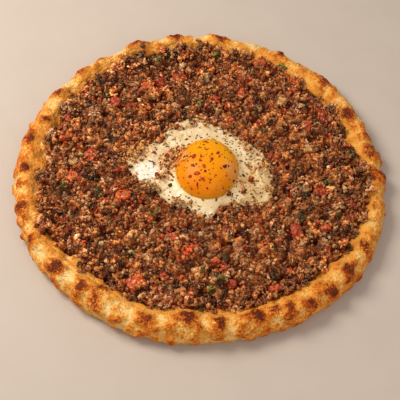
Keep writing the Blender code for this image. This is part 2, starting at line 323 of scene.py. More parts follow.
def bakeCrust():
    piece = fromNode("crust", "bread")
    modify(piece, "SUBSURF", levels=crust["levels"], render_levels=crust["levels"])
    spots = points(piece)
    rim = step(spots[:, 2], 1.0 * mm, 4.0 * mm) * step(
        np.hypot(spots[:, 0], spots[:, 1]), 92 * mm, 101 * mm)
    rimSpots = np.flatnonzero(rim > 0.9)

    puffs = [(x, y, size, rise, None) for x, y, size, rise in crust["bubbles"]]
    for _ in range(crust["smallBubbles"]):
        index = int(chance.choice(rimSpots))
        size, rise = chance.uniform(*crust["smallSize"]), chance.uniform(*crust["smallRise"])
        puffs.append((0, 0, size, rise, index))
    only(piece)
    bpy.ops.object.mode_set(mode="EDIT")
    shell = bmesh.from_edit_mesh(piece.data)
    shell.verts.ensure_lookup_table()
    for x, y, size, rise, index in puffs:  # each pulls the dough around it outwards
        if index is None:
            away = np.hypot(spots[:, 0] - x * mm, spots[:, 1] - y * mm)
            index = int(np.argmin(away - 0.1 * spots[:, 2] + (spots[:, 2] < 6 * mm)))
        bpy.ops.mesh.select_all(action="DESELECT")
        shell.verts[index].select_set(True)
        bpy.ops.transform.translate(
            value=shell.verts[index].normal * rise * crust["puffing"] * mm, use_proportional_edit=True,
            proportional_edit_falloff="SMOOTH" if size > 7 else "SPHERE",
            proportional_size=size * mm)
    bpy.ops.object.mode_set(mode="OBJECT")

    weigh(piece, "rim", rim)
    for kind, size, strength in crust["unevenness"]:
        modify(piece, "DISPLACE", texture=pattern(kind, size * mm), strength=strength * mm,
               texture_coords="LOCAL", vertex_group="rim")

    spots = points(piece)
    edges = np.empty(len(piece.data.edges) * 2, int)
    piece.data.edges.foreach_get("vertices", edges)
    store(piece, "relief", heightOverSurroundings(piece, spots, edges.reshape(-1, 2)))
    # painted light: slopes that face in towards the middle are marked, so that the material paints them a
    # warmer gold, standing for light passing through the dough onto them in their shade
    facing = normals(piece)
    outward = (facing[:, :2] * spots[:, :2]).sum(1) / np.hypot(spots[:, 0], spots[:, 1]).clip(mm)
    store(piece, "inner", step(-outward, 0.1, 0.6) * step(spots[:, 2], 2 * mm, 4 * mm))
    top = spots[:, 2] > 2.5 * mm
    warp = np.array([noise.noise_vector(Vector(p) / (4 * mm)) for p in spots]) * 2.2 * mm
    warped = (spots + warp) / mm
    scorch, halo, pale = (np.zeros(len(spots)) for _ in range(3))
    marks = []
    for x, y, size, darkness in crust["scorches"]:  # each has its middle on top of the rim
        index = np.argmin(np.hypot(spots[:, 0] / mm - x, spots[:, 1] / mm - y)
                          - 0.1 * spots[:, 2] / mm + 99 * (spots[:, 2] < 6 * mm))
        marks.append((spots[index] / mm, size, darkness))
    for _ in range(crust["smallScorches"]):
        marks.append((spots[int(chance.choice(rimSpots))] / mm,
                      chance.uniform(*crust["smallScorchSize"]), chance.uniform(*crust["smallDarkness"])))
    for middle, size, darkness in marks:
        away = np.sqrt(((warped - middle) ** 2).sum(1)) / (0.6 * size)
        scorch = np.maximum(scorch, darkness * np.exp(-1.1 * away ** 3))
        halo = np.maximum(halo, darkness * np.exp(-0.35 * away ** 2))
    for x, y, size, amount in crust["palePatches"]:
        away = np.hypot(warped[:, 0] - x, warped[:, 1] - y) / size
        pale += amount * np.exp(-1.5 * away ** 2)
    store(piece, "scorch", scorch * top)
    store(piece, "halo", halo * top)
    store(piece, "pale", pale)
    done(piece, crustLook(), "crust", "crust")
    return piece


def heightOverSurroundings(piece, spots, edges, rounds=30):  # in mm, along the surface's normal
    count = np.bincount(edges.ravel(), minlength=len(spots))[:, None]
    smooth = spots.copy()
    for _ in range(rounds):
        total = np.zeros_like(smooth)
        for axis in range(3):
            total[:, axis] = (
                np.bincount(edges[:, 0], smooth[edges[:, 1], axis], len(spots))
                + np.bincount(edges[:, 1], smooth[edges[:, 0], axis], len(spots)))
        smooth = total / count
    return ((spots - smooth) * normals(piece)).sum(1) / mm


def crustLook():
    look = Look("baked crust", {"Subsurface Weight": 0.12, "Subsurface Scale": 0.002,
                                "Subsurface Radius": (1.0, 0.5, 0.2), "Specular IOR Level": 0.2})
    relief, scorch = look.attribute("relief"), look.attribute("scorch")
    pale, halo = look.attribute("pale"), look.attribute("halo")
    height = look.node("SeparateXYZ", {}, {0: look.place}, "Z") * 1000
    low, side = 1 - height.ramp(1.0, 6.0), 1 - height.ramp(4.0, 13.0)
    broad, fine = look.grain(11 * mm, 3.0, 0.55), look.grain(1.6 * mm, 4.0, 0.6)
    freckles = look.cells(2.6 * mm)
    crisp = look.grain(0.9 * mm, 3.0, 0.65)
    # thin pale streaks along ridge lines: real ridges in the bump, and paler colour on them as painted light
    # caught by the ridges
    ridges_and_painted_light = 1 - (look.grain(6 * mm, 3.0, 0.6) - 0.5).size() * 9
    ridges_and_painted_light = ridges_and_painted_light.ramp(0.0, 0.9) * look.grain(12 * mm).ramp(0.4, 0.6)
    speckles = ((fine - 0.5) * 0.9 + (crisp - 0.5) * 1.0) * (1 - side * 0.6)
    bake = (broad - 0.5) * 0.7 + relief * 0.26 + speckles + 0.4
    bake = bake - pale * 0.26 - low * 0.2 + scorch * (0.5 + (crisp - 0.5) * 2.8) - ridges_and_painted_light * 0.16
    bake = bake + halo * (0.22 + (fine - 0.5) * 0.8)
    # painted light: the inner slopes are painted browner and a warmer gold against their shade
    bake = bake + look.attribute("inner") * 0.1
    base = bake.colours(
        (0.0, colour(255, 222, 158)), (0.25, colour(247, 188, 94)), (0.48, colour(227, 138, 40)),
        (0.7, colour(198, 96, 16)), (0.88, colour(152, 56, 4)), (1.0, colour(104, 36, 4)))
    base = look.blend(look.attribute("inner") * (1 - scorch.ramp(0.1, 0.5)) * 0.6, base,
                      colour(248, 174, 72))
    cracks = 1 - look.cells(2.4 * mm, "DISTANCE_TO_EDGE").ramp(0.02, 0.14)
    char = (scorch + (crisp - 0.5) * 2.4 + (look.grain(3.5 * mm, 2.0) - 0.5) * 0.6 - cracks * 0.35)
    char = char.ramp(0.62, 0.95)
    base = look.blend(char * 0.8, base, look.blend(fine.ramp(0.4, 0.6), colour(46, 26, 20),
                                                   colour(112, 50, 20)))
    floury = look.grain(0.9 * mm, 2.0).ramp(0.62, 0.75) * pale * height.ramp(9.0, 14.0) * 0.3
    base = look.blend(floury, base, colour(255, 232, 192))
    rough = 0.62 + (fine - 0.5) * 0.3 - bake * 0.08
    skin = crisp * 0.8 + freckles * 0.5 + look.grain(2.2 * mm, 3.0, 0.6) + ridges_and_painted_light * 0.5
    return look.finish(base, rough, skin, 1.1, 0.9)


bread = bakeCrust()
print("crust baked,", len(bread.data.polygons), "faces")


# Egg: the white is a puddle with a thick lip round the yolk, the yolk a glossy dome.
egg = {
    "yolkCentre": (5.0, 1.15, 12.2), "yolkRadii": (21.3, 23.9, 13.7), "yolkBottom": 8.4,
    "grain": 0.75, "grow": 0.8, "lipRise": 1.6, "lipWidth": 3.2,
    "waves": ((9.0, 1.3), (3.5, 1.0), (1.6, 0.45)), "frills": ((6.0, 4.0), (2.2, 1.6)),
    "wing": (-39.0, 15.0, 11.0, -8.0),  # a part of the white pulled outwards: place, reach and pull
}


def fryWhite():
    piece = fromNode("egg_white", "fried_white")
    spots = points(piece)
    x, y, _ = egg["yolkCentre"]
    out = np.hypot((spots[:, 0] / mm - x) / egg["yolkRadii"][0], (spots[:, 1] / mm - y) / egg["yolkRadii"][1])
    only(piece)  # the hollow that the yolk lies in is closed
    bpy.ops.object.mode_set(mode="EDIT")
    bpy.ops.mesh.select_all(action="DESELECT")
    shell = bmesh.from_edit_mesh(piece.data)
    shell.verts.ensure_lookup_table()
    for index in np.flatnonzero((out < 1.12) & (spots[:, 2] > 8.2 * mm)):
        shell.verts[int(index)].select_set(True)
    bmesh.update_edit_mesh(piece.data)
    bpy.ops.mesh.delete(type="VERT")
    bpy.ops.mesh.select_all(action="SELECT")
    bpy.ops.mesh.fill_holes(sides=0)
    bpy.ops.mesh.normals_make_consistent(inside=False)
    bpy.ops.object.mode_set(mode="OBJECT")
    modify(piece, "REMESH", mode="VOXEL", voxel_size=egg["grain"] * mm)
    modify(piece, "SMOOTH", factor=0.5, iterations=6)
    modify(piece, "DISPLACE", strength=egg["grow"] * mm, mid_level=0)
    spots = points(piece)
    out = np.hypot((spots[:, 0] / mm - x) / egg["yolkRadii"][0], (spots[:, 1] / mm - y) / egg["yolkRadii"][1])
    away = (out - 1) * egg["yolkRadii"][0]
    top = step(spots[:, 2], 8.0 * mm, 9.0 * mm)
    weigh(piece, "lip", top * np.exp(-(away / egg["lipWidth"]) ** 2))
    modify(piece, "DISPLACE", direction="Z", strength=egg["lipRise"] * mm, mid_level=0,
           vertex_group="lip")
    weigh(piece, "frill", step(away, 5, 12))
    px, py, reach, pull = egg["wing"]
    weigh(piece, "wing", np.exp(-((spots[:, 0] / mm - px) ** 2 + (spots[:, 1] / mm - py) ** 2) / reach ** 2))
    modify(piece, "DISPLACE", direction="X", strength=pull * mm, mid_level=0, vertex_group="wing")
    for size, strength in egg["frills"]:
        modify(piece, "DISPLACE", texture=pattern("CLOUDS", size * mm, cloud_type="COLOR"),
               direction="RGB_TO_XYZ", strength=strength * mm, texture_coords="LOCAL",
               vertex_group="frill")
    weigh(piece, "top", top * (1 - 0.8 * np.exp(-(away / 4.0) ** 2)))
    for size, strength in egg["waves"]:
        modify(piece, "DISPLACE", texture=pattern("CLOUDS", size * mm), direction="Z",
               strength=strength * mm, texture_coords="LOCAL", vertex_group="top")
    modify(piece, "DISPLACE", texture=pattern("CLOUDS", 5 * mm), strength=1.0 * mm,
           texture_coords="LOCAL")
    spots = points(piece) / mm
    turns = (np.degrees(np.arctan2(spots[:, 1] - y, spots[:, 0] - x)) % 360 // 4).astype(int)
    outs = np.hypot(spots[:, 0] - x, spots[:, 1] - y)
    limits = np.array([outs[turns == turn].max() for turn in range(90)])
    store(piece, "edge", np.exp(-((limits[turns] - outs) / 3.0) ** 2))
    done(piece, whiteLook(), "egg_white", "egg_white")
    return piece


def whiteLook():
    look = Look("fried egg white", {
        "Subsurface Weight": 0.35, "Subsurface Scale": 0.004,
        "Subsurface Radius": (1.0, 0.75, 0.5), "Coat Weight": 0.15, "Coat Roughness": 0.2,
        "Specular IOR Level": 0.3})
    soft, fine = look.grain(9 * mm, 3.0), look.grain(1.3 * mm, 3.0, 0.6)
    base = soft.colours((0.3, colour(222, 196, 150)), (0.5, colour(236, 216, 174)),
                        (0.7, colour(246, 234, 204)))
    base = look.blend(look.near(-36, -1, 13) * 0.8, base, colour(252, 250, 242))
    base = look.blend(fine.ramp(0.5, 0.68) * 0.4, base, colour(206, 168, 110))
    base = look.blend(look.near(42, -4, 24) * 0.7, base, colour(220, 182, 124))
    fried = look.attribute("edge") * (soft + fine).ramp(0.75, 1.25)
    base = look.blend(fried * 0.8, base, colour(206, 142, 72))
    base = look.blend(look.near(36, -16, 8) * 0.6, base, colour(202, 160, 106))
    base = look.blend(look.near(-42, 15, 15) * 0.6, base, colour(214, 164, 108))
    base = look.blend(look.near(-18, 9, 13) * 0.75, base, colour(226, 142, 76))
    base = look.blend(look.near(2, 33, 16) * 0.35, base, colour(222, 184, 128))
    # painted glow: the white round the yolk is painted yellow-orange, as if lit by light coming from the yolk
    painted_yolk_glow = look.near(5, 1, 28, 0.1).ramp(0.04, 0.3)
    base = look.blend(painted_yolk_glow * 0.5, base, colour(250, 190, 96))
    dusted = look.grain(0.7 * mm, 2.0, 0.7).ramp(0.64, 0.72) * look.grain(7 * mm).ramp(0.42, 0.62)
    base = look.blend(dusted * 0.6, base, colour(150, 104, 62))
    skin = soft * 0.8 + fine * 0.5 + look.grain(0.5 * mm, 2.0) * 0.2
    return look.finish(base, 0.34 + (fine - 0.5) * 0.2, skin, 0.5, 0.5)


def fryYolk():
    centre = Vector(egg["yolkCentre"]) * mm
    bpy.ops.mesh.primitive_uv_sphere_add(segments=72, ring_count=40, radius=1, location=(0, 0, 0))
    piece = bpy.context.object
    piece.name = "fried_yolk"
    only(piece)
    bpy.ops.object.mode_set(mode="EDIT")
    bpy.ops.mesh.select_all(action="SELECT")
    bpy.ops.transform.resize(value=[r * mm for r in egg["yolkRadii"]])
    bpy.ops.transform.translate(value=centre)
    bpy.ops.mesh.bisect(plane_co=(0, 0, egg["yolkBottom"] * mm), plane_no=(0, 0, 1),
                        clear_inner=True, use_fill=True)
    bpy.ops.object.mode_set(mode="OBJECT")
    modify(piece, "DISPLACE", texture=pattern("CLOUDS", 14 * mm), strength=1.2 * mm,
           texture_coords="LOCAL")
    modify(piece, "DISPLACE", texture=pattern("CLOUDS", 3 * mm), strength=0.22 * mm,
           texture_coords="LOCAL")
    done(piece, yolkLook(), "egg_yolk", "egg_yolk")
    return piece


def yolkLook():
    look = Look("egg yolk", {
        "Subsurface Weight": 0.6, "Subsurface Scale": 0.018, "Coat Weight": 0.04,
        "Subsurface Radius": (1.0, 0.5, 0.05), "Coat Roughness": 0.35,
        "Specular IOR Level": 0.15})
    across = look.node("SeparateXYZ", {}, {0: look.place}, "X") * 1000
    along = look.node("SeparateXYZ", {}, {0: look.place}, "Y") * 1000
    height = look.node("SeparateXYZ", {}, {0: look.place}, "Z") * 1000
    cloud, fine = look.grain(8 * mm, 3.0, 0.6), look.grain(1.2 * mm, 3.0, 0.6)
    # painted light: the yolk is painted yellower towards its top, back and right, and a deeper orange low, in
    # front and on the left, with random mottling on top of that
    painted_light_and_mottle = along * 0.01 + across * 0.006 + (cloud - 0.5) * 0.7 + height * 0.012 + 0.25
    base = painted_light_and_mottle.colours((0.1, colour(242, 128, 0)), (0.45, colour(248, 146, 0)),
                       (0.8, colour(252, 164, 0)))
    veil = look.near(24, -3, 11, 0.3, 6.0)
    base = look.blend(veil * 0.5, base, colour(240, 166, 104))
    # painted light: the low part of the yolk is painted a lighter yellow-orange to lift its shade there
    rim = 1 - height.ramp(9.5, 19.0)
    base = look.blend(rim * 0.9, base, colour(255, 180, 40))
    base = look.blend(look.near(-15, 9, 9, 0.4, 3.0) * 0.8, base, colour(236, 156, 84))
    return look.finish(base, 0.42 + (fine - 0.5) * 0.3, fine * 0.6 + cloud * 0.5, 0.35, 0.45)


white, yolk = fryWhite(), fryYolk()
print("egg fried")


# Tomato and onion: each dice of the frame is rounded, roughened and given juicy flesh.
dice = {
    "levels": 3, "crooked": {"tomato": 1.3, "onion": 1.5},
    "tomato": ((4.5, 2.6), (1.7, 1.8)), "onion": ((4.0, 2.2), (1.6, 0.9)),
    "ripeness": {  # 0 pinkish, 0.5 red, 1 dark red, and orange below 0
        3: -0.4, 9: -0.5, 6: -0.2, 10: -0.2, 13: -0.2, 22: -0.2, 34: -0.2, 7: 0.9, 12: 0.9,
        24: 0.9, 29: 0.9, 35: 0.9, 23: 1.0, 14: 0.1, 18: 0.1, 19: 0.1, 20: 0.1, 25: 0.1,
        31: 0.1, 36: 0.1, 15: -0.2,
    },
}


def cutDice(kind, material):
    made = []
    for node in sorted(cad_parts):
        if not node.startswith(kind + "_"):
            continue
        piece = fromNode(node, node.replace(kind, kind + "_dice"))
        bpy.ops.object.mode_set(mode="EDIT")
        bpy.ops.mesh.select_all(action="SELECT")
        bpy.ops.transform.vertex_random(offset=dice["crooked"][kind] * mm, seed=int(node[-2:]))
        bpy.ops.object.mode_set(mode="OBJECT")
        modify(piece, "SUBSURF", subdivision_type="SIMPLE", levels=dice["levels"],
               render_levels=dice["levels"])
        modify(piece, "SMOOTH", factor=0.5, iterations=9)
        for size, strength in dice[kind]:
            modify(piece, "DISPLACE", texture=pattern("CLOUDS", size * mm),
                   strength=strength * mm, texture_coords="LOCAL")
        ripe = dice["ripeness"].get(int(node[-2:]), 0.5) if kind == "tomato" else chance.random()
        store(piece, "ripe", [ripe] * len(piece.data.vertices))
        done(piece, material, kind, node)
        made.append(piece)
    return made


def tomatoLook():
    look = Look("cooked tomato", {
        "Subsurface Weight": 0.15, "Subsurface Scale": 0.002, "Coat Weight": 0.25,
        "Subsurface Radius": (1.0, 0.2, 0.05), "Coat Roughness": 0.2, "Specular IOR Level": 0.2})
    ripe = look.attribute("ripe")
    pulp, fine = look.grain(2.4 * mm, 4.0, 0.6), look.grain(0.8 * mm, 3.0, 0.6)
    tone = ripe * 0.5 + 0.34 + (pulp - 0.5) * 2.8 + (fine - 0.5) * 1.2
    base = tone.colours(
        (0.0, colour(218, 120, 58)), (0.3, colour(190, 70, 32)), (0.55, colour(160, 40, 20)),
        (0.8, colour(134, 22, 10)), (1.0, colour(84, 14, 6)))
    threads = 1 - look.cells(1.6 * mm, "DISTANCE_TO_EDGE").ramp(0.02, 0.16)
    base = look.blend(threads * 0.25, base, colour(240, 140, 76))
    base = look.blend(look.grain(1.1 * mm, 2.0).ramp(0.6, 0.72) * 0.4, base, colour(110, 54, 22))
    return look.finish(base, 0.28 + (fine - 0.5) * 0.3, pulp + fine * 0.5, 0.5, 0.6)


def onionLook():
    look = Look("cooked onion", {
        "Subsurface Weight": 0.4, "Subsurface Scale": 0.003, "Coat Weight": 0.3,
        "Subsurface Radius": (1.0, 0.8, 0.5), "Coat Roughness": 0.15})
    ripe = look.attribute("ripe")
    layers = look.node("TexWave", {}, {"Vector": look.place, "Scale": 260.0, "Distortion": 6.0,
                                       "Detail": 2.0, "Detail Scale": 1.0}, "Fac")
    soft = look.grain(3.0 * mm, 3.0, 0.6)
    tone = (soft - 0.5) * 1.8 + layers * 0.2 + ripe * 0.25 + 0.3
    base = tone.colours((0.2, colour(160, 98, 44)), (0.5, colour(206, 152, 88)),
                        (0.8, colour(232, 196, 132)))
    base = look.blend(look.grain(1.2 * mm, 2.0).ramp(0.58, 0.72) * 0.5, base, colour(140, 84, 38))
    return look.finish(base, 0.3 + (soft - 0.5) * 0.2, layers * 0.4 + soft, 0.4, 0.5)


tomatoMaterial, onionMaterial = tomatoLook(), onionLook()
tomatoes, onions = cutDice("tomato", tomatoMaterial), cutDice("onion", onionMaterial)
print("tomato and onion diced")


# Mince: a low bed of fat and juice with relief, and crumbs of meat heaped on it.
mince = {
    "bedHeight": 6.2, "bedGrid": 256, "bedWaves": ((13.0, 2.6), (7.0, 2.4), (3.0, 1.2), (1.5, 0.5)),
    "bedBottom": 4.0, "fill": 0.9,  # the bed fills the gaps to this much below the crumbs, in mm
    "crumbs": 7560, "crumbSize": (1.1, 1.6, 3.1),  # least, most usual and largest radius in mm
    "shapes": 8, "highest": 9.4, "mounds": (8.0, 4.5),  # width and height of its mounds in mm
    "tints": {  # colour, and its share of the crumbs
        "tan": (colour(254, 198, 140), 0.19), "brown": (colour(238, 156, 88), 0.44),
        "deep": (colour(204, 118, 54), 0.21), "dark": (colour(92, 40, 18), 0.04),
        "spiced": (colour(226, 92, 40), 0.05), "plum": (colour(140, 68, 56), 0.06),
    },
    "onEgg": (colour(255, 228, 170), colour(253, 212, 142), colour(248, 192, 112),
              colour(226, 150, 70), colour(140, 60, 18)),
    "onEggPlaces": (  # on a level sheet 12 mm up, with reach in mm and how many
        (-44, 15, 9, 90), (-46, 8, 6, 20), (-39, 20, 6, 20), (-17, 11, 9, 60), (-22, 3, 7, 40),
        (-21, -4, 5, 16),
        (-14, 18, 6, 24), (-17, 36, 4, 16), (-7, 40, 4, 14), (4, 39, 3, 8), (-26, -6, 4, 14),
        (35, -5, 2.4, 9), (30, -15, 2.4, 9), (20, -17, 2, 6), (44, 4, 5, 10), (40, 12, 5, 12),
        (33, 20, 5, 16), (47, -12, 4, 14), (38, -24, 6, 20), (24, -25, 4, 12), (18, 30, 5, 12),
        (44, 10, 5, 14), (30, 26, 4, 10), (36, 3, 7, 12), (28, -8, 6, 8), (-30, -8, 5, 8),
        (-34, -14, 4, 10), (-16, -24, 4, 10), (2, -36, 3, 4)),
    "patches": (  # place and reach in mm, the tint found there, and how much of it
        (50, 17, 7, "spiced", 0.9), (-50, -20, 8, "spiced", 0.8), (-5, -57, 8, "spiced", 0.7),
        (20, -70, 7, "spiced", 0.7), (-87, -7, 7, "spiced", 0.8), (-44, 14, 9, "tan", 0.7),
        (-38, 96, 9, "dark", 0.8), (-13, 62, 7, "dark", 0.7), (-65, 35, 7, "dark", 0.8),
        (-62, 5, 6, "dark", 0.8), (-70, -8, 6, "dark", 0.8), (-57, -75, 9, "dark", 0.8),
        (15, -93, 7, "dark", 0.8), (45, -38, 8, "dark", 0.6), (95, -45, 8, "dark", 0.7),
        (84, 68, 8, "plum", 0.8), (-68, 75, 8, "plum", 0.8), (60, -60, 9, "tan", 0.4),
        (-20, -95, 9, "tan", 0.4), (90, 10, 10, "deep", 0.5), (-85, 52, 9, "tan", 0.4),
    ),
}
solidEdge = np.array([v.co[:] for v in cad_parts["mince"].data.vertices])
edgeAngles = np.degrees(np.arctan2(solidEdge[:, 1], solidEdge[:, 0])) % 360
edgeRadii = np.hypot(solidEdge[:, 0], solidEdge[:, 1]) / mm
minceEdge = np.array([edgeRadii[np.abs((edgeAngles - a + 180) % 360 - 180) < 3].max()
                      for a in range(0, 360, 3)])


def edgeAt(x, y):  # how far out the mince goes in this direction, in mm
    angle = (math.degrees(math.atan2(y, x)) % 360) / 3
    index = int(angle)
    part = angle - index
    return minceEdge[index % 120] * (1 - part) + minceEdge[(index + 1) % 120] * part


def spreadBed():
    size = 232 * mm
    bpy.ops.mesh.primitive_grid_add(x_subdivisions=mince["bedGrid"], y_subdivisions=mince["bedGrid"],
                                    size=size, location=(0, 0, mince["bedHeight"] * mm))
    piece = bpy.context.object
    piece.name = "mince_bed"
    bpy.ops.object.transform_apply(location=True)
    spots = points(piece)
    inside = np.array([math.hypot(x, y) < edgeAt(x, y) * mm - 1.5 * mm for x, y, _ in spots])
    only(piece)
    bpy.ops.object.mode_set(mode="EDIT")
    bpy.ops.mesh.select_all(action="DESELECT")
    shell = bmesh.from_edit_mesh(piece.data)
    shell.verts.ensure_lookup_table()
    for index in np.flatnonzero(~inside):
        shell.verts[int(index)].select_set(True)
    bmesh.update_edit_mesh(piece.data)
    bpy.ops.mesh.delete(type="VERT")
    bpy.ops.object.mode_set(mode="OBJECT")
    for width, strength in mince["bedWaves"]:
        modify(piece, "DISPLACE", texture=pattern("CLOUDS", width * mm), direction="Z",
               strength=strength * mm, texture_coords="LOCAL")
    return piece


def fillGaps():  # the bed rises between the crumbs, and gets its sides and underside
    spots = points(bed) / mm
    columns, rows = np.round((spots[:, :2] + heap.reach) / heap.cell).astype(int).T
    near, far = heap.softened(1.1)[rows, columns], heap.softened(4.5)[rows, columns]
    lift = np.clip(near - mince["fill"] - spots[:, 2], 0, 5) * (heap.kind[rows, columns] <= 1)
    weigh(bed, "fill", lift / 5)
    modify(bed, "DISPLACE", direction="Z", strength=5 * mm, mid_level=0, vertex_group="fill")
    # painted shade: how far the bed lies above the crumbs around it, so that its material paints it darker
    # low in the gaps and lighter where it rises
    store(bed, "high", points(bed)[:, 2] / mm - far)
    only(bed)
    bpy.ops.object.mode_set(mode="EDIT")
    bpy.ops.mesh.select_mode(type="EDGE")
    bpy.ops.mesh.select_all(action="DESELECT")
    bpy.ops.mesh.select_non_manifold()
    bpy.ops.mesh.extrude_region_move()
    bpy.ops.transform.resize(value=(1, 1, 0), center_override=(0, 0, mince["bedBottom"] * mm))
    bpy.ops.mesh.edge_face_add()
    bpy.ops.mesh.select_all(action="SELECT")
    bpy.ops.mesh.normals_make_consistent(inside=False)
    bpy.ops.object.mode_set(mode="OBJECT")
    done(bed, bedLook(), "mince", "mince")


def bedLook():
    look = Look("mince in its juice", {"Coat Roughness": 0.2, "Specular IOR Level": 0.12})
    high = look.attribute("high")
    lumps, fine = look.grain(2.4 * mm, 3.0, 0.6), look.grain(0.7 * mm, 3.0, 0.65)
    # painted shade: the juice is darker where it lies low among the crumbs and lighter where it rises, with
    # random lumps on top of that
    tone = lumps * 0.9 + (fine - 0.5) * 0.9 + high * 0.12 + 0.08
    base = tone.colours((0.25, colour(70, 20, 2)), (0.42, colour(130, 56, 12)),
                        (0.58, colour(212, 138, 72)), (0.75, colour(250, 192, 128)))
    base = look.blend(look.grain(9 * mm, 3.0).ramp(0.52, 0.66) * 0.4, base, colour(188, 78, 20))
    base = look.blend(look.grain(11 * mm, 2.0).ramp(0.56, 0.68) * 0.3, base, colour(172, 108, 76))
    wet = look.grain(3.0 * mm, 2.0).ramp(0.52, 0.66)
    return look.finish(base, 0.5 - wet * 0.15, lumps + fine * 0.5, 0.8, 0.8,
                       **{"Coat Weight": wet * 0.35})


bed = spreadBed()
print("bed of mince spread")


class Heap:  # the height of all that lies on the bread, and what it is, on a fine grid
    def __init__(self, cell=0.5, reach=126):
        self.cell, self.reach = cell, reach
        self.count = int(2 * reach / cell) + 1
        groups = (("crust", [bread]), ("mince", [bed]), ("white", [white]), ("yolk", [yolk]),
                  ("dice", tomatoes + onions))
        corners, faces, kinds = [], [], []
        for kind, (_, pieces) in enumerate(groups):
            for piece in pieces:
                start = len(corners)
                corners += [v.co.copy() for v in piece.data.vertices]
                for face in piece.data.polygons:
                    faces.append([start + index for index in face.vertices])
                    kinds.append(kind)
        tree = BVHTree.FromPolygons(corners, faces)
        self.names = [name for name, _ in groups]
        self.height = np.zeros((self.count, self.count))
        self.kind = np.full((self.count, self.count), -1)
        down = Vector((0, 0, -1))
        for row in range(self.count):
            y = (row * cell - reach) * mm
            for column in range(self.count):
                x = (column * cell - reach) * mm
                if x * x + y * y > (reach * mm) ** 2:
                    continue
                hit, _, index, _ = tree.ray_cast(Vector((x, y, 0.05)), down)
                if hit:
                    self.height[row, column] = hit.z / mm
                    self.kind[row, column] = kinds[index]

    def what(self, x, y):
        row, column = (round((value + self.reach) / self.cell) for value in (y, x))
        kind = self.kind[row, column]
        return self.names[kind] if kind >= 0 else None

    def softened(self, reach):  # the heights, blurred over this many mm
        steps = np.arange(-int(3 * reach / self.cell), int(3 * reach / self.cell) + 1)
        share = np.exp(-0.5 * (steps * self.cell / reach) ** 2)
        soft = self.height
        for axis in (0, 1):
            soft = np.apply_along_axis(np.convolve, axis, soft, share / share.sum(), "same")
        return soft

    def under(self, x, y, radius):
        row, column = (int(round((value + self.reach) / self.cell)) for value in (y, x))
        wide = max(1, int(math.ceil(radius / self.cell)))
        rows = slice(max(row - wide, 0), row + wide + 1)
        columns = slice(max(column - wide, 0), column + wide + 1)
        ys = np.arange(self.count)[rows, None] * self.cell - self.reach - y
        xs = np.arange(self.count)[None, columns] * self.cell - self.reach - x
        return rows, columns, (xs ** 2 + ys ** 2) / radius ** 2

    def level(self, x, y, radius):  # how high something of this radius comes to rest
        rows, columns, away = self.under(x, y, radius * 0.8)
        heights = self.height[rows, columns][away <= 1]
        return 0.6 * heights.mean() + 0.4 * heights.max()

    def at(self, x, y):
        row, column = (int(round((value + self.reach) / self.cell)) for value in (y, x))
        return self.height[row, column]

    def lie(self, x, y, lift=0.1, span=1.0):  # a place on top, and the turn of a flat thing on it
        slope = [self.at(x - span, y) - self.at(x + span, y),
                 self.at(x, y - span) - self.at(x, y + span)]
        upright = Vector((*slope, 2 * span)).to_track_quat("Z", "Y")
        spin = Quaternion((0, 0, 1), chance.uniform(0, 2 * math.pi))
        return (x, y, self.at(x, y) + lift), (upright @ spin).to_euler()[:]

    def add(self, x, y, z, radius, tall):
        rows, columns, away = self.under(x, y, radius)
        cap = z + tall * np.sqrt(np.clip(1 - away, 0, 1))
        self.height[rows, columns] = np.where(
            away < 1, np.maximum(self.height[rows, columns], cap), self.height[rows, columns])


heap = Heap()
print("heights taken")


def clump(name, grains, faces, spread=0.5, size=(0.38, 0.62)):
    # grains stuck together in a crumb of radius about 1, kept to a few faces
    parts = []
    for _ in range(grains):
        spot = [chance.gauss(0, spread * part) for part in (1.1, 0.9, 0.7)]
        bpy.ops.mesh.primitive_ico_sphere_add(
            subdivisions=2, radius=chance.uniform(*size), location=spot, rotation=tumble())
        bpy.context.object.scale = [chance.uniform(0.5, 1.5) for _ in range(3)]
        parts.append(bpy.context.object)
    bpy.ops.object.select_all(action="DESELECT")
    for part in parts:
        part.select_set(True)
    bpy.ops.object.join()
    bpy.ops.object.transform_apply(location=True, rotation=True, scale=True)
    piece = bpy.context.object
    piece.name = name
    modify(piece, "REMESH", mode="VOXEL", voxel_size=0.09)
    modify(piece, "DISPLACE", texture=pattern("CLOUDS", 0.35), strength=0.45, texture_coords="LOCAL")
    modify(piece, "DECIMATE", ratio=faces / (2 * len(piece.data.polygons)))
    return piece


